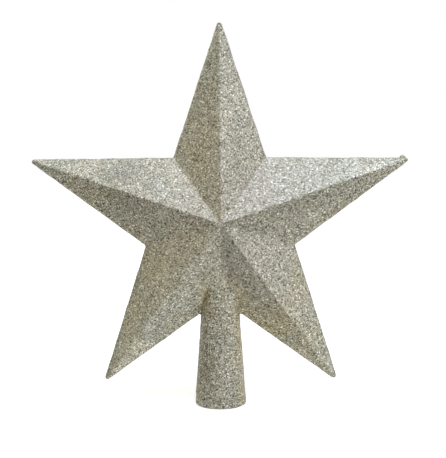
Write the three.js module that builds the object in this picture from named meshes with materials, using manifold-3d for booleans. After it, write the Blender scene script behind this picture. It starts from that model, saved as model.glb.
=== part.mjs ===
// A hollow five-pointed star that slides over the top shoot of a Christmas tree.
// It is moulded as two half shells, each with half of the tapered socket, which are bonded along
// the star's edge and then coated all over with glitter in clear lacquer.
// Millimetres. +Z is up, +X is to the right seen from the front, and the front faces -Y.
// The origin is the middle of the socket's mouth, on the face that the star stands on.
import * as THREE from "three";
import { mergeVertices } from "three/addons/utils/BufferGeometryUtils.js";
import Module from "manifold-3d";

const wasm = await Module();
wasm.setup();

// The star, measured over the glitter. Radii go to the sharp corners where its straight edges meet.
const ARMS = 5;
const TIP_RADIUS = 100;
const VALLEY_RADIUS = 38.8;
const CREST_HEIGHT = 22.5; // from the parting plane to where the ridges meet
const EDGE_HEIGHT = 1.2; // from the parting plane to the foot of the sloping facets
const TIP_ROUNDING = 1.1;
const RIDGE_BLUNTING = 0.3; // how far each ridge is rubbed down

// The socket, measured over the glitter: a cone that runs up into the star as far as its centre.
const SOCKET_LENGTH = 91.5; // from the mouth to the star's centre
const SOCKET_MOUTH_RADIUS = 12.8;
const SOCKET_CREST_RADIUS = 6.35;
const SOCKET_RIM_ROUNDING = 1.2;

// The glitter coat.
const COAT_THICKNESS = 0.5;
const COAT_GAP = 0.05; // left between the coat and the plastic
const COAT_HEM = 0.4; // the bare height above the face that the star stands on
const BEAD_RADIUS = 1.3; // a bead of lacquer that dried on the upper edge of the right arm
const BEAD_FROM_TIP = 4.3; // along that edge from its sharp corner
const BEAD_RISE = 0.1; // of the bead's centre above the edge

// The moulded half shells.
const WALL = 1.5;
const RIM_WIDTH = 2.6; // of the thicker rim where the two halves meet
const SMALLEST_ROUNDING = 0.3; // the smallest radius that the mould's cutter leaves

// The halves meet in a stepped lap: a lip on the front half goes inside the rim of the back half,
// which is cut back to take it, and the adhesive lies between the lip's end and the step's floor.
const LIP_INSET = 0.8; // from the shell's outside to the lip
const LIP_HEIGHT = 0.5;
const LIP_CLEARANCE = 0.1; // between the lip and the step's side
const STEP_DEPTH = 0.9;
const BOND_CLEARANCE = 0.05; // all round the adhesive
const SEAM_END = 1.5; // the lip, step and adhesive stop this far above the mouth

// Posts inside the arms locate the halves: a pin on each front post enters a back post.
const POST_CIRCLE_RADIUS = 50;
const POST_RADIUS = 2.5;
const PIN_RADIUS = 1.2;
const PIN_END_RADIUS = 0.9;
const PIN_LENGTH = 4;
const PIN_CLEARANCE = 0.1;

const TIP_ARC_STEPS = 6;
const RIM_ARC_STEPS = 4;
const SOCKET_SIDES = 72;
const POST_SIDES = 24;
const BEAD_DETAIL = 3;
const MERGE_DISTANCE = 1e-4;
const FAR = 2 * (TIP_RADIUS + SOCKET_LENGTH); // reaches past the whole object

const ARM_ANGLE = (2 * Math.PI) / ARMS;
const HALF_ARM = ARM_ANGLE / 2;
const EDGE_LENGTH = Math.hypot(
  TIP_RADIUS - VALLEY_RADIUS * Math.cos(HALF_ARM),
  VALLEY_RADIUS * Math.sin(HALF_ARM),
);
// Every edge of the star is this far from its centre, so a smaller copy is an even inset.
const EDGE_DISTANCE = (TIP_RADIUS * VALLEY_RADIUS * Math.sin(HALF_ARM)) / EDGE_LENGTH;
const HALF_TIP = Math.asin(EDGE_DISTANCE / TIP_RADIUS);
const FACET_RISE = CREST_HEIGHT - EDGE_HEIGHT;
const FACET_SLOPE = Math.atan2(FACET_RISE, EDGE_DISTANCE);
const SOCKET_TAPER = Math.atan2(SOCKET_MOUTH_RADIUS - SOCKET_CREST_RADIUS, SOCKET_LENGTH);

// Shapes are drawn as seen from the front, and lie in the parting plane: their Y becomes Z.
const FROM_DRAWING = new THREE.Matrix4().makeBasis(
  new THREE.Vector3(1, 0, 0),
  new THREE.Vector3(0, 0, 1),
  new THREE.Vector3(0, -1, 0),
);

// A closed geometry as a solid that can be joined and cut.
function solid(geometry) {
  const bare = geometry.index ? geometry.toNonIndexed() : geometry.clone();
  bare.deleteAttribute("normal");
  bare.deleteAttribute("uv");
  const merged = mergeVertices(bare, MERGE_DISTANCE);
  const corners = merged.index.array;
  const kept = [];
  for (let i = 0; i < corners.length; i += 3) {
    const [a, b, c] = corners.slice(i, i + 3);
    if (a !== b && b !== c && c !== a) kept.push(a, b, c);
  }
  return new wasm.Manifold(
    new wasm.Mesh({
      numProp: 3,
      vertProperties: merged.attributes.position.array,
      triVerts: new Uint32Array(kept),
    }),
  );
}

// A named mesh of a finished solid.
function piece(name, shape, material) {
  const { vertProperties, triVerts, numProp } = shape.getMesh();
  const places = new Float32Array((vertProperties.length / numProp) * 3);
  for (let i = 0; i < places.length; i += 3) {
    const from = (i / 3) * numProp;
    places.set(vertProperties.subarray(from, from + 3), i);
  }
  const geometry = new THREE.BufferGeometry();
  geometry.setAttribute("position", new THREE.BufferAttribute(places, 3));
  geometry.setIndex(new THREE.BufferAttribute(new Uint32Array(triVerts), 1));
  const faceted = geometry.toNonIndexed();
  faceted.computeVertexNormals();
  const mesh = new THREE.Mesh(faceted, material);
  mesh.name = name;
  return mesh;
}

// A box between two levels of one axis, which reaches past the object on the other two.
function slab(axis, from, to) {
  const size = { x: FAR, y: FAR, z: 2 * FAR, [axis]: to - from };
  const box = new THREE.BoxGeometry(size.x, size.y, size.z);
  const shift = { x: 0, y: 0, z: 0, [axis]: (from + to) / 2 };
  return solid(box.translate(shift.x, shift.y, shift.z));
}

// What is drawn, as a straight-walled solid between two levels of Y.
function extruded(shape, fromY, toY) {
  const depth = toY - fromY;
  const geometry = new THREE.ExtrudeGeometry(shape, {
    depth,
    bevelEnabled: false,
    curveSegments: TIP_ARC_STEPS,
  });
  return solid(geometry.applyMatrix4(FROM_DRAWING).translate(0, toY, 0));
}

// A point at a radius and angle from the star's centre, in the drawing.
function fromCentre(radius, angle) {
  return new THREE.Vector2(
    radius * Math.cos(angle),
    SOCKET_LENGTH + radius * Math.sin(angle),
  );
}

const armAngle = (arm) => Math.PI / 2 + arm * ARM_ANGLE;

// The star's sharp corners, tips and valleys in turn, at a share of its full size.
function starCorners(share) {
  const corners = [];
  for (let arm = 0; arm < ARMS; arm++) {
    corners.push(fromCentre(TIP_RADIUS * share, armAngle(arm)));
    corners.push(fromCentre(VALLEY_RADIUS * share, armAngle(arm) + HALF_ARM));
  }
  return corners;
}

// Two pyramids, base to base on the parting plane.
function doublePyramid(ring, height) {
  const count = ring.length;
  const places = ring.flatMap(({ x, y }) => [x, 0, y]);
  places.push(0, -height, SOCKET_LENGTH, 0, height, SOCKET_LENGTH);
  const faces = ring.flatMap((_, i) => {
    const next = (i + 1) % count;
    return [i, next, count, next, i, count + 1];
  });
  const geometry = new THREE.BufferGeometry();
  geometry.setAttribute("position", new THREE.Float32BufferAttribute(places, 3));
  geometry.setIndex(faces);
  return solid(geometry);
}

// The star's outline with rounded tips, moved in by an inset.
function starOutline(inset) {
  const share = 1 - inset / EDGE_DISTANCE;
  const rounding = Math.max(TIP_ROUNDING - inset, SMALLEST_ROUNDING);
  const arcRadius = TIP_RADIUS * share - rounding / Math.sin(HALF_TIP);
  const outline = new THREE.Shape();
  for (let arm = 0; arm < ARMS; arm++) {
    const angle = armAngle(arm);
    const centre = fromCentre(arcRadius, angle);
    const sweep = Math.PI / 2 - HALF_TIP;
    outline.absarc(centre.x, centre.y, rounding, angle - sweep, angle + sweep, false);
    const valley = fromCentre(VALLEY_RADIUS * share, angle + HALF_ARM);
    outline.lineTo(valley.x, valley.y);
  }
  outline.closePath();
  return outline;
}

// The star without its socket: sloping facets moved in by one inset, and upright edges by another.
function star(facetInset, edgeInset) {
  const height = CREST_HEIGHT - facetInset / Math.cos(FACET_SLOPE);
  const facets = doublePyramid(starCorners(height / FACET_RISE), height);
  const bluntHeight = height - RIDGE_BLUNTING;
  const bluntReach = (bluntHeight * TIP_RADIUS) / FACET_RISE / Math.cos(HALF_ARM);
  const bluntRing = [];
  for (let arm = 0; arm < ARMS; arm++) {
    bluntRing.push(fromCentre(bluntReach, armAngle(arm) + HALF_ARM));
  }
  const outline = extruded(starOutline(edgeInset), -CREST_HEIGHT, CREST_HEIGHT);
  return facets.intersect(doublePyramid(bluntRing, bluntHeight)).intersect(outline);
}

// The socket's radius at a height above its mouth, moved in by an inset.
function socketRadius(height, inset) {
  const share = height / SOCKET_LENGTH;
  const outside = THREE.MathUtils.lerp(SOCKET_MOUTH_RADIUS, SOCKET_CREST_RADIUS, share);
  return outside - inset / Math.cos(SOCKET_TAPER);
}

function revolved(profile) {
  return solid(new THREE.LatheGeometry(profile, SOCKET_SIDES).applyMatrix4(FROM_DRAWING));
}

// The socket's outside as a solid cone with a rounded foot.
function socketOutside(inset) {
  const rounding = Math.max(SOCKET_RIM_ROUNDING - inset, SMALLEST_ROUNDING);
  const foot = socketRadius(rounding, inset) - rounding;
  const profile = [new THREE.Vector2(0, 0)];
  for (let step = 0; step <= RIM_ARC_STEPS; step++) {
    const turn = (step / RIM_ARC_STEPS) * (Math.PI / 2);
    const out = foot + rounding * Math.sin(turn);
    const up = rounding * (1 - Math.cos(turn));
    profile.push(new THREE.Vector2(out, up));
  }
  profile.push(new THREE.Vector2(socketRadius(SOCKET_LENGTH, inset), SOCKET_LENGTH));
  profile.push(new THREE.Vector2(0, SOCKET_LENGTH));
  return revolved(profile);
}

// The socket's bore, which runs out past its mouth.
function socketBore(inset) {
  const below = -SOCKET_MOUTH_RADIUS;
  return revolved([
    new THREE.Vector2(0, below),
    new THREE.Vector2(socketRadius(below, inset), below),
    new THREE.Vector2(socketRadius(SOCKET_LENGTH, inset), SOCKET_LENGTH),
    new THREE.Vector2(0, SOCKET_LENGTH),
  ]);
}

// The whole outside moved in by an inset: 0 is the glitter, and the coat's thickness the plastic.
function outside(inset) {
  return star(inset, inset).add(socketOutside(inset));
}

// The plan of the star and its socket, each moved in by its inset, down to a level of Z.
function plan(starInset, socketInset, lowest, fromY, toY) {
  const low = socketRadius(lowest, socketInset);
  const high = socketRadius(SOCKET_LENGTH, socketInset);
  const sides = new THREE.Shape([
    new THREE.Vector2(-low, lowest),
    new THREE.Vector2(low, lowest),
    new THREE.Vector2(high, SOCKET_LENGTH),
    new THREE.Vector2(-high, SOCKET_LENGTH),
  ]);
  return extruded(starOutline(starInset), fromY, toY).add(extruded(sides, fromY, toY));
}

// A band along the seam, from an inset to the inside of the rim or a stated way past it, which
// stops short of the socket's mouth.
function seamBand(inset, pastRim, fromY, toY, end) {
  const starInset = COAT_THICKNESS + RIM_WIDTH + pastRim;
  const socketInset = COAT_THICKNESS + WALL + pastRim;
  const lowest = end - SOCKET_MOUTH_RADIUS;
  const hollow = plan(starInset, socketInset, lowest, fromY - WALL, toY + WALL);
  return plan(inset, inset, end, fromY, toY).subtract(hollow);
}

// The walls of both halves before they are parted.
function walls() {
  const inset = COAT_THICKNESS + WALL;
  const cavity = star(inset, COAT_THICKNESS + RIM_WIDTH).add(socketBore(inset));
  return outside(COAT_THICKNESS).subtract(cavity);
}

// A round bar along Y at each arm's post, between two levels and with a radius at each.
function barsAtPosts(fromRadius, toRadius, fromY, toY) {
  const bars = [];
  for (let arm = 0; arm < ARMS; arm++) {
    const { x, y } = fromCentre(POST_CIRCLE_RADIUS, armAngle(arm));
    const bar = new THREE.CylinderGeometry(toRadius, fromRadius, toY - fromY, POST_SIDES);
    bars.push(solid(bar.translate(x, (fromY + toY) / 2, y)));
  }
  return bars.reduce((all, bar) => all.add(bar));
}

// Posts that stand on the inside of one half and end on the parting plane.
function posts(fromY, toY) {
  const middleOfWall = star(COAT_THICKNESS + WALL / 2, COAT_THICKNESS + WALL / 2);
  return barsAtPosts(POST_RADIUS, POST_RADIUS, fromY, toY).intersect(middleOfWall);
}

function frontShell() {
  const half = walls().intersect(slab("y", -FAR, 0));
  // The lip and the pins start inside the plastic so that all become one.
  const root = -EDGE_HEIGHT / 4;
  const lip = seamBand(COAT_THICKNESS + LIP_INSET, 0, root, LIP_HEIGHT, SEAM_END);
  const pins = barsAtPosts(PIN_RADIUS, PIN_END_RADIUS, root, PIN_LENGTH);
  return half.add(posts(-CREST_HEIGHT, 0)).add(lip).add(pins);
}

const STEP_INSET = COAT_THICKNESS + LIP_INSET - LIP_CLEARANCE;

function backShell() {
  const half = walls().intersect(slab("y", 0, FAR));
  const step = seamBand(STEP_INSET, WALL, -EDGE_HEIGHT, STEP_DEPTH, SEAM_END - LIP_CLEARANCE);
  const holeRadius = PIN_RADIUS + PIN_CLEARANCE;
  const holeEndRadius = PIN_END_RADIUS + PIN_CLEARANCE;
  const holes = barsAtPosts(holeRadius, holeEndRadius, -PIN_CLEARANCE, PIN_LENGTH + PIN_CLEARANCE);
  return half.add(posts(0, CREST_HEIGHT)).subtract(step).subtract(holes);
}

function seamBond() {
  const inset = STEP_INSET + BOND_CLEARANCE;
  const fromY = LIP_HEIGHT + BOND_CLEARANCE;
  const toY = STEP_DEPTH - BOND_CLEARANCE;
  return seamBand(inset, 0, fromY, toY, SEAM_END);
}

// The dried bead of lacquer, on the upper edge of the arm that points to the right.
function lacquerBead() {
  const rightArm = armAngle(ARMS - 1);
  const tip = fromCentre(TIP_RADIUS, rightArm);
  const valley = fromCentre(VALLEY_RADIUS, rightArm + HALF_ARM);
  const place = tip.clone().lerp(valley, BEAD_FROM_TIP / EDGE_LENGTH);
  const ball = new THREE.IcosahedronGeometry(BEAD_RADIUS, BEAD_DETAIL);
  return solid(ball.translate(place.x, 0, place.y + BEAD_RISE));
}

// One skin over both halves, open where the socket is open.
function glitterCoat() {
  const inside = outside(COAT_THICKNESS - COAT_GAP);
  const skin = outside(0).add(lacquerBead()).subtract(inside);
  return skin.intersect(slab("z", COAT_HEM, FAR));
}

const shellPlastic = new THREE.MeshStandardMaterial({
  name: "moulded champagne plastic",
  color: 0xb9b29a,
  roughness: 0.45,
  metalness: 0,
});
const clearAdhesive = new THREE.MeshStandardMaterial({
  name: "adhesive",
  color: 0xd9d4c3,
  roughness: 0.3,
  metalness: 0,
});
const glitter = new THREE.MeshStandardMaterial({
  name: "champagne glitter",
  color: 0xaaa78f,
  roughness: 0.4,
  metalness: 0.8,
});

const treeTopper = new THREE.Group();
treeTopper.add(piece("front_shell", frontShell(), shellPlastic));
treeTopper.add(piece("back_shell", backShell(), shellPlastic));
treeTopper.add(piece("seam_bond", seamBond(), clearAdhesive));
treeTopper.add(piece("glitter_coat", glitterCoat(), glitter));

export default treeTopper;
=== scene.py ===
"""A glittered star that slides over the top shoot of a Christmas tree, dressed around its frame.

Metres. +Z is up, the front faces -Y, and the origin is the middle of the socket's mouth.
"""

import math

import bmesh
import bpy
import numpy as np
from mathutils import Matrix, Vector


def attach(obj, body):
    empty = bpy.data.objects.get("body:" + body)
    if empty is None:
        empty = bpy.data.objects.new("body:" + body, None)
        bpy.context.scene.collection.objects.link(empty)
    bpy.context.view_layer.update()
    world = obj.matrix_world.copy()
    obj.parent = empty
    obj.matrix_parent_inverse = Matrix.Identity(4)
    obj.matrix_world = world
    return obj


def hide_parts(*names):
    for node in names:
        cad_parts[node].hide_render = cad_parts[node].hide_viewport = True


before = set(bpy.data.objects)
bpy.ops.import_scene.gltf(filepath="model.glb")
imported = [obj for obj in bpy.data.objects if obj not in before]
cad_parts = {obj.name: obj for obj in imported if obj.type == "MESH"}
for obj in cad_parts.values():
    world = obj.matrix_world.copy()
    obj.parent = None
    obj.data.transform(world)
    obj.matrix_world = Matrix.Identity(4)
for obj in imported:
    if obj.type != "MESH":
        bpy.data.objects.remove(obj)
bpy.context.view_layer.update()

MM = 0.001

# The star and its socket, over the glitter, as the frame has them.
ARMS = 5
TIP_RADIUS = 100 * MM
VALLEY_RADIUS = 38.8 * MM
CREST_HEIGHT = 22.5 * MM
EDGE_HEIGHT = 1.2 * MM
SOCKET_LENGTH = 91.5 * MM
SOCKET_MOUTH_RADIUS = 12.8 * MM
SOCKET_CREST_RADIUS = 6.35 * MM
SOCKET_RIM_ROUNDING = 1.2 * MM
COAT_HEM = 0.4 * MM
BEAD_FROM_TIP = 4.3 * MM

# How far wear rounds each tip, anticlockwise from the top one as the front shows them.
# The moulding's own tips lie just under this.
TIP_WEAR = np.array([1.25, 1.3, 1.3, 1.25, 0.95]) * MM
# The least that the coat's outside stands over its inside.
THINNEST_COAT = 0.12 * MM
# How much further out the coat has dried on each half arm's upright edge, anticlockwise from
# the top ridge. At the tip's middle it is nothing, and it grows over this distance from there.
EDGE_GROWTH = np.array([0.1, 0, 0, 0, 0, 0.05, 0.4, 0.12, 0.08, 0.15]) * MM
EDGE_GROWTH_BLEND = 2 * MM

# How the lacquer softens the moulding's lines.
RIDGE_SOFTNESS = 0.15 * MM
VALLEY_SOFTNESS = 0.35 * MM
EDGE_SOFTNESS = 0.9 * MM
SOCKET_FILLET = 0.9 * MM
BEAD_FILLET = 0.6 * MM
BEAD_SIZE = np.array([1.6, 1.3, 1.35]) * MM
BEAD_LEAN = 0.45
# How unevenly it lies: a few crossing waves, whose lengths vary by these shares.
WAVES = 9
WAVE_HEIGHT = 0.08 * MM
WAVE_LENGTH = 9 * MM
WAVE_LENGTHS = (0.6, 1.8)

# The flakes: a remesh of this size, whose corners are shifted along the surface by a share
# of it and lifted off the surface by about this much.
FLAKE = 0.71 * MM
FLAKE_SHIFT = 0.3
FLAKE_LIFT = 0.036 * MM
SEED = 20

# Where thick lacquer browns the coat, or less of it leaves the flakes greyer (below zero):
# x and z of each soft patch on the front, its half width and half height, all in
# millimetres, and its strength.
BROWN_PATCHES = (
    (-8, 130, 7, 24, 0.35),
    (-12, 124, 6, 8, 0.35),
    (-16, 86, 11, 7, 0.22),
    (-32, 68, 10, 13, 0.4),
    (-45, 42, 5, 18, 0.3),
    (-7.5, 54, 3, 9, 0.7),
    (10, 54, 4, 10, 0.65),
    (26, 41, 12, 9, 0.8),
    (38, 60, 6, 11, 0.4),
    (46, 32.5, 8, 10, 0.3),
    (-57, 104.5, 16, 7, 0.4),
    (-9, 22, 4, 16, 0.45),
    (10, 31.5, 3, 12, 0.9),
    (11, 6, 3, 7, 0.7),
    (90, 123, 1.5, 1.2, 0.8),
    (30, 113, 20, 7, -0.15),
    (66, 117, 14, 4, -0.1),
)
# Patches of painted light and painted shade, some of them the coat's own uneven tone: paler, or
# darker (below zero), given like the brown ones.
PAINTED_LIGHT_AND_TONE_PATCHES = (
    (6, 148, 5, 9, 0.15),
    (1.5, 140, 2.5, 8, 0.12),
    (-68, 118, 11, 4, 0.2),
    (-49, 115, 7, 5, -0.28),
    (-24, 116, 4, 4, 0.1),
    (-19, 111, 5, 4, 0.1),
    (-42, 99, 7, 4, -0.2),
    (-50, 105, 8, 4, -0.12),
    (75, 116.5, 7, 3, 0.27),
    (48, 118, 9, 3, 0.04),
    (16, 108, 4, 4, -0.1),
    (35, 99, 6, 4, -0.13),
    (28, 97, 5, 4, -0.12),
    (48, 93, 6, 4, 0.2),
    (37, 84, 6, 4, 0.12),
    (25, 86, 4, 5, 0.1),
    (14, 90, 6, 4, -0.1),
    (0, 91, 9, 9, -0.09),
    (3, 78, 3, 8, -0.18),
    (39, 65, 4, 4, 0.1),
    (31, 38, 5, 4, 0.18),
    (39, 27, 6, 4, 0.28),
    (50, 19, 6, 5, 0.14),
    (-40, 60, 4, 5, -0.2),
    (-17, 47, 6, 8, 0.18),
    (-20, 40, 4, 4, 0.15),
    (-32, 36, 5, 4, -0.12),
    (-42, 29, 7, 5, 0.22),
    (8, 67, 4, 6, -0.13),
    (1, 63, 2, 7, 0.24),
    (0, 66, 3, 5, 0.08),
    (12, 58, 3, 4, -0.15),
    (8, 49, 3, 10, 0.42),
    (9.2, 48, 0.8, 4, -0.5),
    (15, 45, 4, 5, 0.18),
    (14, 42, 5, 4, 0.14),
    (-8, 53, 3, 4, 0.2),
    (-6.5, 24, 5.5, 22, -0.18),
    (-10, 16, 5, 18, -0.2),
    (3, 34, 6, 4, -0.1),
    (10, 20, 2.5, 26, 0.13),
    (5.5, 5, 3, 5, -0.22),
    (0, -1, 5, 2.5, 0.2),
)
# Over what depth the patches and lines on the front fade out across the upright edge.
FRONT_BLEND = 4 * MM

# Each facet's own look, anticlockwise from the top ridge: the painted light on it near the star's
# middle and near the tip, painted shade where it is below zero; how far the lacquer evens out its
# flakes; and how much browner its flakes are, which paints warm shade on the facets turned from
# the lamps.
MIDDLE_PAINTED_SHADING = np.array([0.04, 0.02, -0.17, 0.08, 0.1, -0.12, -0.02, -0.07, 0.03, -0.06])
TIP_PAINTED_SHADING = np.array([0, 0.09, -0.18, 0.02, 0.26, 0.07, 0.02, -0.09, 0.1, 0])
EVENNESS = np.array([0.12, 0.26, -0.1, 0.13, 0.065, 0.04, 0.02, -0.06, 0.23, 0.04])
BROWNNESS = np.array([0.15, 0, 0.1, 0.2, -0.13, -0.02, 0, 0, -0.07, 0])
# Painted highlight (above zero) and painted shade (below zero) along the facet's outer edge,
# ridge and valley on the front, within about this width.
EDGE_PAINTED_SHADING = np.array([0, 0.04, 0.06, -0.3, 0.25, 0.2, 0.03, 0.07, 0, 0])
RIDGE_PAINTED_SHADING = np.array([0, 0.1, -0.08, -0.08, 0, -0.08, 0, 0, 0, 0])
VALLEY_PAINTED_SHADING = np.array([0.08, 0.13, 0, 0, 0, 0, 0, 0, 0, 0])
LINE_WIDTH = 1.5 * MM
# From where to where the painted light and shade near the middle turns into the tip's, as
# distances from the middle, and at what share of that way the flakes turn from redder to greener.
TONE_START = 20 * MM
TONE_END = 80 * MM
GREEN_START = 0.35
# How far the lacquer evens out the flakes on the socket's left and right sides.
SOCKET_EVENNESS_LEFT = -0.18
SOCKET_EVENNESS_RIGHT = 0.12

# Painted shade in the creases beside the socket: how far it reaches onto the star and the socket,
# where it fades out upwards, and how weak it is in the right crease beside the left one.
CREASE_WIDTHS = (1.0 * MM, 1.7 * MM)
CREASE_TOP = 62 * MM
CREASE_FADE = 8 * MM
CREASE_SIDE_BLEND = 4 * MM
RIGHT_CREASE = 0.1

# How finely the work is done. The rough solid's tips are cut back by a multiple of their wear.
SLOPE_STEP = 0.01 * MM
LEAST_SQUARED_SLOPE = 0.05
SETTLE_ROUNDS = 5
MERGE_DISTANCE = 0.001 * MM
HEM_TOLERANCE = 0.01 * MM
PINHOLE_SIDES = 8
ROUGH_SOCKET_SIDES = 64
ROUGH_TIP_CUT = 2.5

# What follows from these sizes.
ARM_ANGLE = 2 * math.pi / ARMS
HALF_ARM = ARM_ANGLE / 2
EDGE_LENGTH = math.hypot(
    TIP_RADIUS - VALLEY_RADIUS * math.cos(HALF_ARM), VALLEY_RADIUS * math.sin(HALF_ARM)
)
EDGE_DISTANCE = TIP_RADIUS * VALLEY_RADIUS * math.sin(HALF_ARM) / EDGE_LENGTH
HALF_TIP = math.asin(EDGE_DISTANCE / TIP_RADIUS)
FACET_SLOPE = math.atan2(CREST_HEIGHT - EDGE_HEIGHT, EDGE_DISTANCE)
SOCKET_TAPER = math.atan2(SOCKET_MOUTH_RADIUS - SOCKET_CREST_RADIUS, SOCKET_LENGTH)
STAR_CENTRE = Vector((0, 0, SOCKET_LENGTH))


def soft_min(a, b, width):
    """The lower of two fields, blended over a width."""
    near = np.maximum(width - np.abs(a - b), 0) / width
    return np.minimum(a, b) - near * near * width / 4


def soft_max(a, b, width):
    """The higher of two fields, blended over a width."""
    return -soft_min(-a, -b, width)


def around_star(points):
    """Each point's reach from the star's middle, its turn from the top ridge, its angle from
    the nearest ridge and the number of its half arm, which is its facet's number too."""
    x, z = points[:, 0], points[:, 2] - SOCKET_LENGTH
    turn = np.arctan2(z, x) - math.pi / 2
    off_ridge = np.abs((turn + HALF_ARM) % ARM_ANGLE - HALF_ARM)
    half_arm = (turn % (2 * math.pi) / HALF_ARM).astype(int) % (2 * ARMS)
    return np.hypot(x, z), turn, off_ridge, half_arm


def star_point(radius, turn):
    """The point of the parting plane at a radius and at a turn from the top ridge."""
    angle = math.pi / 2 + turn
    return np.array([radius * math.cos(angle), 0, SOCKET_LENGTH + radius * math.sin(angle)])


def facet_field(reach, off_ridge, off_plane):
    """About the distance from the facets, with valleys filled and ridges blunted a little."""
    off_valley = HALF_ARM - off_ridge
    along_valley = reach * np.cos(off_valley)
    from_valley = np.sqrt((reach * np.sin(off_valley)) ** 2 + VALLEY_SOFTNESS**2)
    along = along_valley * math.cos(HALF_ARM) + from_valley * math.sin(HALF_ARM)
    across = along_valley * math.sin(HALF_ARM) - from_valley * math.cos(HALF_ARM)
    across = np.sqrt(across**2 + RIDGE_SOFTNESS**2)
    rise = along * math.sin(HALF_TIP) + across * math.cos(HALF_TIP)
    return math.sin(FACET_SLOPE) * rise + math.cos(FACET_SLOPE) * (off_plane - CREST_HEIGHT)


def edge_field(reach, turn, off_ridge, half_arm):
    """About the distance from the upright edge, each tip rounded about a centre inside it."""
    worn = TIP_WEAR[np.round(turn / ARM_ANGLE).astype(int) % ARMS]
    along = reach * np.cos(off_ridge) - (EDGE_DISTANCE - worn) / math.sin(HALF_TIP)
    across = reach * np.sin(off_ridge)
    beside = along * math.sin(HALF_TIP) + across * math.cos(HALF_TIP)
    beyond = along * math.cos(HALF_TIP) - across * math.sin(HALF_TIP)
    grown = EDGE_GROWTH[half_arm] * np.clip(across / EDGE_GROWTH_BLEND, 0, 1)
    return np.where(beyond > 0, np.hypot(along, across), beside) - worn - grown


def star_field(points):
    """About the distance from the star's surface, below zero inside it."""
    reach, turn, off_ridge, half_arm = around_star(points)
    facets = facet_field(reach, off_ridge, np.abs(points[:, 1]))
    return soft_max(facets, edge_field(reach, turn, off_ridge, half_arm), EDGE_SOFTNESS)


def socket_field(points):
    """About the distance from the tapered socket, whose mouth has a rounded rim."""
    x, y, z = points[:, 0], points[:, 1], points[:, 2]
    share = z / SOCKET_LENGTH
    radius = SOCKET_MOUTH_RADIUS + (SOCKET_CREST_RADIUS - SOCKET_MOUTH_RADIUS) * share
    below = np.clip(SOCKET_RIM_ROUNDING - z, 0, SOCKET_RIM_ROUNDING)
    radius -= SOCKET_RIM_ROUNDING - np.sqrt(SOCKET_RIM_ROUNDING**2 - below**2)
    side = (np.hypot(x, y) - radius) * math.cos(SOCKET_TAPER)
    return np.maximum(side, z - SOCKET_LENGTH)


def on_star(points):
    """Which points lie on the star, not on its socket."""
    return star_field(points) < socket_field(points)


def bead_place():
    """Where the dried bead of lacquer sits on the right arm's upper edge."""
    tip = star_point(TIP_RADIUS, -ARM_ANGLE)
    valley = star_point(VALLEY_RADIUS, HALF_ARM - ARM_ANGLE)
    return tip + (valley - tip) * BEAD_FROM_TIP / EDGE_LENGTH


def bead_field(points):
    """A bead that is steep towards the star and runs out towards the arm's tip."""
    local = (points - bead_place()) / BEAD_SIZE
    local[:, 2] += BEAD_LEAN * local[:, 0]
    return (np.linalg.norm(local, axis=1) - 1) * BEAD_SIZE.min()


def waves(points):
    """A slow unevenness in the lacquer, as a sum of crossing waves."""
    draw = np.random.default_rng(SEED)
    total = np.zeros(len(points))
    for _ in range(WAVES):
        way = draw.normal(size=3)
        way /= np.linalg.norm(way)
        length = WAVE_LENGTH * draw.uniform(*WAVE_LENGTHS)
        total += np.sin(points @ way * 2 * math.pi / length + draw.uniform(0, 2 * math.pi))
    return total * WAVE_HEIGHT / math.sqrt(WAVES)


def coat_field(points):
    """The glitter coat's outside."""
    body = soft_min(star_field(points), socket_field(points), SOCKET_FILLET)
    return soft_min(body, bead_field(points), BEAD_FILLET) - waves(points)


def front_share(points):
    """1 on the front and 0 on the back, blended across the upright edge."""
    return np.clip(0.5 - points[:, 1] / FRONT_BLEND, 0, 1)


def patchy(points, patches):
    """How strongly some soft oval patches on the front show at each point."""
    total = np.zeros(len(points))
    for x, z, wide, high, strength in patches:
        off = ((points[:, 0] / MM - x) / wide) ** 2 + ((points[:, 2] / MM - z) / high) ** 2
        total += strength * np.exp(-off)
    return total * front_share(points)


def painted_line_shading(reach, off_ridge, half_arm):
    """Painted highlight and painted shade near each facet's outer edge, ridge and valley."""
    from_edge = (TIP_RADIUS - reach * np.cos(off_ridge)) * math.sin(HALF_TIP)
    from_edge -= reach * np.sin(off_ridge) * math.cos(HALF_TIP)
    lines = (
        (EDGE_PAINTED_SHADING, from_edge),
        (RIDGE_PAINTED_SHADING, reach * np.sin(off_ridge)),
        (VALLEY_PAINTED_SHADING, reach * np.sin(HALF_ARM - off_ridge)),
    )
    return sum(painted_light_and_tone[half_arm] * np.exp(-((off / LINE_WIDTH) ** 2)) for painted_light_and_tone, off in lines)


def painted_crease_shade(points):
    """How dark the painted shade in the creases beside the socket is, most in the lower left one.
    """
    off = star_field(points) - socket_field(points)
    off /= np.where(off < 0, *CREASE_WIDTHS)
    low = np.clip((CREASE_TOP - points[:, 2]) / CREASE_FADE, 0, 1)
    left = np.clip(0.5 - points[:, 0] / CREASE_SIDE_BLEND, RIGHT_CREASE, 1)
    return np.exp(-(off**2)) * low * left


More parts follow.
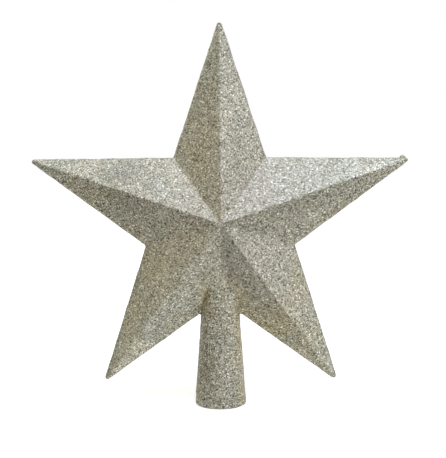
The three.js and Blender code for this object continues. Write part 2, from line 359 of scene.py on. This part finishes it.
def coat_shares(points):
    """How strongly each change in the coat's look, painted light and shade among them, shows at
    each point, by the change's name.
    """
    reach, _, off_ridge, half_arm = around_star(points)
    out = np.clip((reach - TONE_START) / (TONE_END - TONE_START), 0, 1)
    # Painted light and shade on each facet, blended from the middle to the tip.
    painted_light_and_tone = MIDDLE_PAINTED_SHADING[half_arm] * (1 - out) + TIP_PAINTED_SHADING[half_arm] * out
    # Painted highlights and shade along the front's edges, ridges and valleys.
    painted_light_and_tone += painted_line_shading(reach, off_ridge, half_arm) * front_share(points)
    right = np.clip(points[:, 0] / (2 * SOCKET_MOUTH_RADIUS) + 0.5, 0, 1)
    socket_evenness = SOCKET_EVENNESS_LEFT * (1 - right) + SOCKET_EVENNESS_RIGHT * right
    star = on_star(points)
    return {
        "brown": np.where(star, BROWNNESS[half_arm], 0) + patchy(points, BROWN_PATCHES),
        "painted_light_and_tone": np.where(star, painted_light_and_tone, 0) + patchy(points, PAINTED_LIGHT_AND_TONE_PATCHES),
        "evenness": np.where(star, EVENNESS[half_arm], socket_evenness),
        "green": np.where(star, out - GREEN_START, 0),
        "crease_shade": painted_crease_shade(points),
    }


def slope_of(field, points):
    """The field's slope at each point."""
    slope = np.empty_like(points)
    for axis in range(3):
        shift = np.zeros(3)
        shift[axis] = SLOPE_STEP
        slope[:, axis] = field(points + shift) - field(points - shift)
    return slope / (2 * SLOPE_STEP)


def settle(field, points, level):
    """Moves points along the field's slope until they lie at a level of it."""
    for _ in range(SETTLE_ROUNDS):
        slope = slope_of(field, points)
        steep = np.maximum((slope**2).sum(axis=1), LEAST_SQUARED_SLOPE)
        points = points - slope * ((field(points) - level) / steep)[:, None]
    return points


def mesh_object(name, mesh):
    """A mesh as an object of the scene."""
    piece = bpy.data.objects.new(name, mesh)
    bpy.context.scene.collection.objects.link(piece)
    return piece


def corners_of(mesh):
    """The places of a mesh's corners, one to a row."""
    corners = np.empty(len(mesh.vertices) * 3)
    mesh.vertices.foreach_get("co", corners)
    return corners.reshape(-1, 3)


def rough_outline():
    """The star's outline, each tip cut off square just inside its rounded place."""
    ring = []
    for arm, worn in enumerate(TIP_WEAR):
        cut = ROUGH_TIP_CUT * worn
        reach = TIP_RADIUS - cut * math.cos(HALF_TIP)
        lean = math.atan2(cut * math.sin(HALF_TIP), reach)
        for radius, angle in ((reach, -lean), (reach, lean), (VALLEY_RADIUS, HALF_ARM)):
            ring.append(star_point(radius, arm * ARM_ANGLE + angle))
    return ring


def rough_solid():
    """The star and its socket as plain crossing solids, for the remesher to join."""
    shape = bmesh.new()
    ring = rough_outline()
    sides = []
    for side in (-1, 1):
        crest = shape.verts.new((0, side * CREST_HEIGHT, SOCKET_LENGTH))
        corners = [shape.verts.new((x, side * EDGE_HEIGHT, z)) for x, _, z in ring]
        sides.append(corners)
        for i, corner in enumerate(corners):
            shape.faces.new((crest, corner, corners[(i + 1) % len(corners)]))
    front, back = sides
    for i in range(len(ring)):
        after = (i + 1) % len(ring)
        shape.faces.new((front[i], front[after], back[after], back[i]))
    # The socket reaches below its mouth, where the hem's cut takes the rest away.
    spare = 2 * (COAT_HEM + SOCKET_RIM_ROUNDING)
    bmesh.ops.create_cone(
        shape,
        cap_ends=True,
        segments=ROUGH_SOCKET_SIDES,
        radius1=SOCKET_MOUTH_RADIUS,
        radius2=SOCKET_CREST_RADIUS,
        depth=SOCKET_LENGTH + spare,
        matrix=Matrix.Translation((0, 0, (SOCKET_LENGTH - spare) / 2)),
    )
    bead = Matrix.Translation(bead_place()) @ Matrix.Diagonal((*BEAD_SIZE, 1))
    bmesh.ops.create_icosphere(shape, subdivisions=2, radius=1, matrix=bead)
    bmesh.ops.recalc_face_normals(shape, faces=shape.faces[:])
    mesh = bpy.data.meshes.new("rough")
    shape.to_mesh(mesh)
    shape.free()
    return mesh_object("rough", mesh)


def remeshed(piece, voxel):
    """The corners and four-sided faces of a piece after a voxel remesh."""
    change = piece.modifiers.new("remesh", "REMESH")
    change.mode = "VOXEL"
    change.voxel_size = voxel
    shaped = piece.evaluated_get(bpy.context.evaluated_depsgraph_get()).to_mesh()
    corners = corners_of(shaped)
    faces = np.empty(len(shaped.loops), dtype=np.int64)
    shaped.loops.foreach_get("vertex_index", faces)
    bpy.data.objects.remove(piece)
    return corners, faces.reshape(-1, 4)


def onto_ridges(points):
    """Moves corners that lie near a ridge onto it, and says which side of it each is on."""
    reach, turn, _, _ = around_star(points)
    ridge = np.round(turn / ARM_ANGLE) * ARM_ANGLE
    across = reach * np.sin(turn - ridge)
    along = reach * np.cos(turn - ridge)
    near = (np.abs(across) < FLAKE / 2) & on_star(points)
    points[near, 0] = (along * np.cos(ridge + math.pi / 2))[near]
    points[near, 2] = (along * np.sin(ridge + math.pi / 2))[near] + SOCKET_LENGTH
    return np.where(near, 0, np.sign(across))


def split_faces(faces, sides, draw):
    """Each four-sided face as two flakes, cut by chance but along a ridge where there is one."""
    turned = draw.random(len(faces)) < 0.5
    sides = sides[faces]
    turned |= sides[:, 0] * sides[:, 2] < 0
    turned &= sides[:, 1] * sides[:, 3] >= 0
    faces = np.where(turned[:, None], np.roll(faces, 1, axis=1), faces)
    return np.concatenate([faces[:, [0, 1, 2]], faces[:, [0, 2, 3]]])


def flakes():
    """The corners and three-sided faces of the coat's outside, down past its hem."""
    draw = np.random.default_rng(SEED)
    corners, faces = remeshed(rough_solid(), FLAKE)
    corners = settle(coat_field, corners, 0)
    corners += draw.uniform(-1, 1, corners.shape) * FLAKE * FLAKE_SHIFT
    sides = onto_ridges(corners)
    lift = np.clip(draw.normal(0, FLAKE_LIFT, len(corners)), -2 * FLAKE_LIFT, 2 * FLAKE_LIFT)
    corners = settle(coat_field, corners, lift)
    return corners, split_faces(faces, sides, draw)


def inner_skin(shape):
    """Adds the inside of the frame's own coat, which lies on the plastic."""
    skin = bmesh.new()
    skin.from_mesh(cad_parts["glitter_coat"].data)
    bmesh.ops.remove_doubles(skin, verts=skin.verts[:], dist=MERGE_DISTANCE)
    skin.normal_update()
    centres = np.array([face.calc_center_median() for face in skin.faces])
    normals = np.array([face.normal for face in skin.faces])
    outwards = (normals * slope_of(coat_field, centres)).sum(axis=1) > 0
    hem = centres[:, 2] < COAT_HEM + HEM_TOLERANCE
    gone = [face for face, drop in zip(skin.faces[:], outwards | hem) if drop]
    bmesh.ops.delete(skin, geom=gone, context="FACES")
    corners = np.array([vert.co for vert in skin.verts])
    depth = np.minimum(coat_field(corners), -THINNEST_COAT)
    made = {}
    for vert, place in zip(skin.verts, settle(coat_field, corners, depth)):
        made[vert] = shape.verts.new(place)
    for face in skin.faces:
        shape.faces.new([made[vert] for vert in face.verts])
    skin.free()


def open_rims(shape):
    """The corners round each open rim of a mesh, anticlockwise seen from above, and their turns
    from the X axis, with the first corner's at the end again."""
    left = [edge for edge in shape.edges if edge.is_boundary]
    rims = []
    while left:
        edge = left.pop()
        rim = list(edge.verts)
        while edge := next((e for e in rim[-1].link_edges if e in left), None):
            left.remove(edge)
            rim.append(edge.other_vert(rim[-1]))
        rim.pop()
        turns = [math.atan2(vert.co.y, vert.co.x) for vert in rim]
        if np.unwrap(turns)[-1] < turns[0]:
            rim.reverse()
            turns.reverse()
        start = min(range(len(rim)), key=lambda i: abs(turns[i]))
        turns = np.unwrap(turns[start:] + turns[: start + 1])
        rims.append((rim[start:] + rim[:start], turns))
    return rims


def close_hem(shape):
    """Joins the coat's outside and inside at its hem with a strip of faces."""
    (first, first_turns), (second, second_turns) = open_rims(shape)
    i = j = 0
    while i < len(first) or j < len(second):
        here, across = first[i % len(first)], second[j % len(second)]
        if j == len(second) or (i < len(first) and first_turns[i + 1] < second_turns[j + 1]):
            i += 1
            shape.faces.new((here, first[i % len(first)], across))
        else:
            j += 1
            shape.faces.new((here, second[j % len(second)], across))


def coat_mesh():
    """The coat as one closed mesh: the flakes, cut off at the hem, and the skin inside them."""
    corners, faces = flakes()
    mesh = bpy.data.meshes.new("glitter_coat_flakes")
    mesh.from_pydata(corners.tolist(), [], faces.tolist())
    shape = bmesh.new()
    shape.from_mesh(mesh)
    bmesh.ops.bisect_plane(
        shape,
        geom=shape.verts[:] + shape.edges[:] + shape.faces[:],
        dist=HEM_TOLERANCE,
        plane_co=(0, 0, COAT_HEM),
        plane_no=(0, 0, -1),
        clear_outer=True,
    )
    inner_skin(shape)
    # Only the two rims of the hem stay open, which have many more sides.
    bmesh.ops.holes_fill(shape, edges=shape.edges[:], sides=PINHOLE_SIDES)
    close_hem(shape)
    bmesh.ops.triangulate(shape, faces=[face for face in shape.faces if len(face.verts) > 3])
    bmesh.ops.recalc_face_normals(shape, faces=shape.faces[:])
    shape.to_mesh(mesh)
    shape.free()
    mesh.shade_flat()
    return mesh


def glitter_coat():
    """The coat of single flakes, in place of the frame's smooth one."""
    mesh = coat_mesh()
    for name, values in coat_shares(corners_of(mesh)).items():
        mesh.attributes.new(name, "FLOAT", "POINT").data.foreach_set("value", values)
    mesh.materials.append(glitter_material())
    piece = mesh_object("glitter_coat_flakes", mesh)
    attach(piece, "root")
    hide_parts("glitter_coat")


class Shading:
    """A node tree, with short ways to add to it. A value is a number, a colour or an output."""

    def __init__(self, tree):
        self.tree = tree

    def node(self, kind):
        return self.tree.nodes.new("ShaderNode" + kind)

    def fill(self, node, inputs):
        """Links or sets inputs of a node, by their names or numbers, and gives its outputs."""
        for name, value in inputs.items():
            if isinstance(value, bpy.types.NodeSocket):
                self.tree.links.new(value, node.inputs[name])
            else:
                node.inputs[name].default_value = value
        return node.outputs

    def place(self):
        return self.node("TexCoord").outputs["Object"]

    def attribute(self, name):
        """One of the shares that the mesh's corners carry."""
        node = self.node("Attribute")
        node.attribute_name = name
        return node.outputs["Fac"]

    def number(self, operation, *values):
        node = self.node("Math")
        node.operation = operation
        return self.fill(node, dict(enumerate(values)))["Value"]

    def vector(self, operation, inputs, output="Vector"):
        node = self.node("VectorMath")
        node.operation = operation
        return self.fill(node, inputs)[output]

    def noise(self, size, detail=2):
        """Soft noise from 0 to 1, in lumps of about this size."""
        inputs = {"Vector": self.place(), "Scale": 1 / size, "Detail": detail}
        return self.fill(self.node("TexNoise"), inputs)["Fac"]

    def cells(self, size, feature="F1"):
        """Chance cells of about this size."""
        node = self.node("TexVoronoi")
        node.feature = feature
        return self.fill(node, {"Vector": self.place(), "Scale": 1 / size})

    def moved(self, value, low, high, start=0, end=1):
        """A value between a start and an end, moved to between low and high."""
        inputs = {
            "Value": value,
            "From Min": start,
            "From Max": end,
            "To Min": low,
            "To Max": high,
        }
        return self.fill(self.node("MapRange"), inputs)["Result"]

    def ramp(self, value, stops):
        """The colour that a value from 0 to 1 has along a ramp of places and colours."""
        node = self.node("ValToRGB")
        elements = node.color_ramp.elements
        for element, (place, colour) in zip(elements, (stops[0], stops[-1])):
            element.position = place
            element.color = (*colour, 1)
        for place, colour in stops[1:-1]:
            elements.new(place).color = (*colour, 1)
        return self.fill(node, {"Fac": value})["Color"]

    def mixed(self, share, first, second, blend="MIX"):
        """Two colours mixed by a share, which may lie outside 0 to 1."""
        node = self.node("Mix")
        node.data_type = "RGBA"
        node.blend_type = blend
        node.clamp_factor = False
        return self.fill(node, {"Factor": share, "A": first, "B": (*second, 1)})["Result"]

    def tinted(self, share, colour, tint):
        """A colour times a tint, by a share; below zero the tint is turned round."""
        return self.mixed(share, colour, tint, "MULTIPLY")


def new_material(name):
    """A material with its shading and its shader node."""
    material = bpy.data.materials.new(name)
    material.use_nodes = True
    tree = material.node_tree
    shader = next(node for node in tree.nodes if node.type == "BSDF_PRINCIPLED")
    return material, Shading(tree), shader


# The flakes' tones, from the darkest flake to the brightest, by the share of darker ones,
# and the tone that the lacquer evens them out to.
FLAKE_TONES = (
    (0, (0.004, 0.003, 0.001)),
    (0.15, (0.157, 0.126, 0.068)),
    (0.3, (0.313, 0.274, 0.178)),
    (0.88, (0.56, 0.52, 0.378)),
    (1, (1, 0.98, 0.8)),
)
MEAN_FLAKE = (0.375, 0.339, 0.231)
# Each cell has a tone, a roughness and a lean of its own, and a gap round it, as a share of
# its size, where the bare lacquer is darker.
CELL = 0.5 * MM
CELL_LEAN = 0.08
CELL_ROUGHNESS = (0.4, 0.6)
GAP_SHARE = 0.07
GAP_TINT = (0.5, 0.45, 0.38)
GLITTER_METALLIC = 0.25
# The coat's slow changes of hue, and the unevenness inside its brown patches and creases.
SLOW_SIZE = 16 * MM
SLOW_CONTRAST = 3
SLOW_TINT = (0.955, 0.995, 1.01)
BROKEN_SIZE = 4 * MM
# What a share of 1 does to the flakes' colour.
BROWN_TINT = (1.05, 0.965, 0.77)
GREEN_TINT = (0.97, 1, 1)
# The crease tint paints shade into the creases.
CREASE_SHADE_TINT = (0.52, 0.475, 0.32)


def varied(shading, colour):
    """The flakes' colour with slow changes, brown patches, painted crease shade and painted light.
    """
    slow = shading.noise(SLOW_SIZE)
    slow = shading.number("MULTIPLY_ADD", slow, SLOW_CONTRAST, (1 - SLOW_CONTRAST) / 2)
    broken = shading.number("ADD", shading.noise(BROKEN_SIZE), 0.5)
    brown = shading.number("MULTIPLY", shading.attribute("brown"), broken)
    # Painted shade in the creases beside the socket, broken up like the brown patches.
    crease_shade = shading.number("MULTIPLY", shading.attribute("crease_shade"), broken)
    colour = shading.tinted(slow, colour, SLOW_TINT)
    colour = shading.tinted(brown, colour, BROWN_TINT)
    colour = shading.tinted(shading.attribute("green"), colour, GREEN_TINT)
    colour = shading.tinted(crease_shade, colour, CREASE_SHADE_TINT)
    # Painted light and shade, with some of the coat's own uneven tone, scale the flakes' colour.
    level = shading.number("ADD", shading.attribute("painted_light_and_tone"), 1)
    return shading.vector("SCALE", {0: colour, "Scale": level})


def leaning(shading, chance):
    """The surface's normal, leant by a chance vector of three numbers from 0 to 1."""
    lean = shading.vector("SUBTRACT", {0: chance, 1: (0.5, 0.5, 0.5)})
    lean = shading.vector("SCALE", {0: lean, "Scale": CELL_LEAN})
    normal = shading.node("NewGeometry").outputs["Normal"]
    return shading.vector("NORMALIZE", {0: shading.vector("ADD", {0: normal, 1: lean})})


def glitter_material():
    """Cells of mixed tones, each a flake, over the small faces of the mesh."""
    material, shading, shader = new_material("champagne glitter")
    chance = shading.cells(CELL)["Color"]
    chances = shading.fill(shading.node("SeparateColor"), {"Color": chance})
    off_side = shading.cells(CELL, "DISTANCE_TO_EDGE")["Distance"]
    colour = shading.ramp(chances["Red"], FLAKE_TONES)
    colour = shading.tinted(shading.moved(off_side, 1, 0, end=GAP_SHARE), colour, GAP_TINT)
    colour = shading.mixed(shading.attribute("evenness"), colour, MEAN_FLAKE)
    surface = {
        "Base Color": varied(shading, colour),
        "Roughness": shading.moved(chances["Green"], *CELL_ROUGHNESS),
        "Normal": leaning(shading, chance),
        "Metallic": GLITTER_METALLIC,
    }
    shading.fill(shader, surface)
    return material


PLASTIC_CLOUD_SIZE = 12 * MM
PLASTIC_TONES = ((0.35, (0.49, 0.44, 0.32)), (0.7, (0.55, 0.5, 0.375)))
PLASTIC_ROUGHNESS = (0.3, 0.5)
PLASTIC_GRAIN_SIZE = 0.8 * MM
PLASTIC_GRAIN_DEPTH = 0.05 * MM
PLASTIC_GRAIN_STRENGTH = 0.15


def plastic_material():
    """Bare moulded plastic, slightly cloudy, with a fine grain."""
    material, shading, shader = new_material("moulded champagne plastic")
    cloud = shading.noise(PLASTIC_CLOUD_SIZE, detail=4)
    grain = shading.noise(PLASTIC_GRAIN_SIZE)
    relief = {"Strength": PLASTIC_GRAIN_STRENGTH, "Distance": PLASTIC_GRAIN_DEPTH, "Height": grain}
    surface = {
        "Base Color": shading.ramp(cloud, PLASTIC_TONES),
        "Roughness": shading.moved(grain, *PLASTIC_ROUGHNESS),
        "Normal": shading.fill(shading.node("Bump"), relief)["Normal"],
    }
    shading.fill(shader, surface)
    return material


ADHESIVE_CLOUD_SIZE = 3 * MM
ADHESIVE_TONES = ((0, (0.6, 0.56, 0.45)), (1, (0.78, 0.75, 0.66)))
ADHESIVE_ROUGHNESS = 0.25


def adhesive_material():
    """Cloudy cured adhesive."""
    material, shading, shader = new_material("cured adhesive")
    colour = shading.ramp(shading.noise(ADHESIVE_CLOUD_SIZE), ADHESIVE_TONES)
    shading.fill(shader, {"Base Color": colour, "Roughness": ADHESIVE_ROUGHNESS})
    return material


def dress_frame():
    """Finishes for the frame's own pieces, which show inside the socket."""
    plastic = plastic_material()
    finishes = {"front_shell": plastic, "back_shell": plastic, "seam_bond": adhesive_material()}
    for node, finish in finishes.items():
        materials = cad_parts[node].data.materials
        materials.clear()
        materials.append(finish)


# The camera, fitted to the photographed corners of the star.
CAMERA_DISTANCE = 420 * MM
CAMERA_ABOVE = math.radians(3.5)
CAMERA_LEFT = math.radians(0.8)
CAMERA_ROLL = math.radians(0.24)
IMAGE_WIDTH = 446
IMAGE_HEIGHT = 458
STAR_PIXEL = (220.05, 221.1)
PIXELS_PER_METRE = 2016.4
SENSOR = 36


def camera():
    """The view of the photograph."""
    data = bpy.data.cameras.new("camera")
    data.sensor_width = SENSOR
    data.lens = PIXELS_PER_METRE * CAMERA_DISTANCE * SENSOR / IMAGE_HEIGHT
    data.shift_x = (IMAGE_WIDTH / 2 - STAR_PIXEL[0]) / IMAGE_HEIGHT
    data.shift_y = (STAR_PIXEL[1] - IMAGE_HEIGHT / 2) / IMAGE_HEIGHT
    data.clip_start = 0.01
    data.clip_end = 100
    made = bpy.data.objects.new("camera", data)
    bpy.context.scene.collection.objects.link(made)
    turn = (
        Matrix.Rotation(-CAMERA_LEFT, 4, "Z")
        @ Matrix.Rotation(math.pi / 2 - CAMERA_ABOVE, 4, "X")
        @ Matrix.Rotation(-CAMERA_ROLL, 4, "Z")
    )
    back = Matrix.Translation((0, 0, CAMERA_DISTANCE))
    made.matrix_world = Matrix.Translation(STAR_CENTRE) @ turn @ back
    bpy.context.scene.camera = made


def lamp(name, place, size, power, colour):
    """A square soft lamp that points at the star's centre."""
    data = bpy.data.lights.new(name, "AREA")
    data.shape = "SQUARE"
    data.size = size
    data.energy = power
    data.color = colour
    made = bpy.data.objects.new(name, data)
    bpy.context.scene.collection.objects.link(made)
    made.location = place
    made.rotation_euler = (made.location - STAR_CENTRE).to_track_quat("Z", "Y").to_euler()


def lights():
    """Soft cool light from above and the right, and a lamp behind for the views of the back."""
    lamp("overhead", (0.1, -0.4, 1.33), size=1.3, power=7.4, colour=(0.87, 0.93, 1))
    lamp("near above", (0.2, -0.3, 0.75), size=0.6, power=4.1, colour=(0.56, 0.63, 1))
    lamp("right", (1.05, -0.6, 0.45), size=0.6, power=4.3, colour=(0.77, 0.82, 1))
    lamp("behind", (-0.7, 0.9, 0.9), size=0.8, power=5, colour=(0.9, 0.94, 1))


WHITE = (1, 1, 1, 1)
AMBIENT_COLOUR = (0.97, 1, 0.75, 1)
AMBIENT_STRENGTH = 0.2


def seen_directly(shading):
    """An output that is 1 for what the camera, a reflection or clear material shows, else 0."""
    ray = shading.node("LightPath").outputs
    seen = shading.number("MAXIMUM", ray["Is Camera Ray"], ray["Is Glossy Ray"])
    return shading.number("MAXIMUM", seen, ray["Is Transmission Ray"])


def surroundings():
    """A plain world: white where it is seen, and soft ambient light on what it lights."""
    world = bpy.data.worlds.new("studio")
    bpy.context.scene.world = world
    world.use_nodes = True
    nodes = world.node_tree.nodes
    shading = Shading(world.node_tree)
    seen = shading.fill(nodes["Background"], {"Color": WHITE, "Strength": 1})
    light = {"Color": AMBIENT_COLOUR, "Strength": AMBIENT_STRENGTH}
    ambient = shading.fill(shading.node("Background"), light)
    both = {"Fac": seen_directly(shading), 1: ambient["Background"], 2: seen["Background"]}
    mixed = shading.fill(shading.node("MixShader"), both)["Shader"]
    shading.fill(nodes["World Output"], {"Surface": mixed})


FLOOR_REACH = 12
FLOOR_COLOUR = (0.86, 0.83, 0.78, 1)
FLOOR_ROUGHNESS = 0.9
# The floor's own glow, which makes up for the lamps' fading towards the horizon.
NEAR_GLOW = 0.6
FAR_GLOW = 1.0
GLOW_START = 0.25
GLOW_END = 1.6


def floor_material():
    """A pale colour that glows a little where it is seen, so that only the shadow shows on it."""
    material, shading, shader = new_material("pale floor")
    surface = {
        "Base Color": FLOOR_COLOUR,
        "Roughness": FLOOR_ROUGHNESS,
        "Specular IOR Level": 0,
    }
    matt = shading.fill(shader, surface)["BSDF"]
    reach = shading.vector("LENGTH", {0: shading.place()}, "Value")
    level = shading.moved(reach, NEAR_GLOW, FAR_GLOW, GLOW_START, GLOW_END)
    level = shading.number("MULTIPLY", seen_directly(shading), level)
    glow = shading.fill(shading.node("Emission"), {"Color": WHITE, "Strength": level})["Emission"]
    both = shading.fill(shading.node("AddShader"), {0: matt, 1: glow})["Shader"]
    out = next(node for node in material.node_tree.nodes if node.type == "OUTPUT_MATERIAL")
    shading.fill(out, {"Surface": both})
    return material


def floor():
    """A wide floor, level with the socket's mouth."""
    mesh = bpy.data.meshes.new("floor")
    signs = ((-1, -1), (1, -1), (1, 1), (-1, 1))
    corners = [(x * FLOOR_REACH, y * FLOOR_REACH, 0) for x, y in signs]
    mesh.from_pydata(corners, [], [(0, 1, 2, 3)])
    mesh.materials.append(floor_material())
    piece = mesh_object("floor", mesh)


bpy.context.scene.view_settings.view_transform = "Standard"
camera()
surroundings()
lights()
floor()
dress_frame()
glitter_coat()
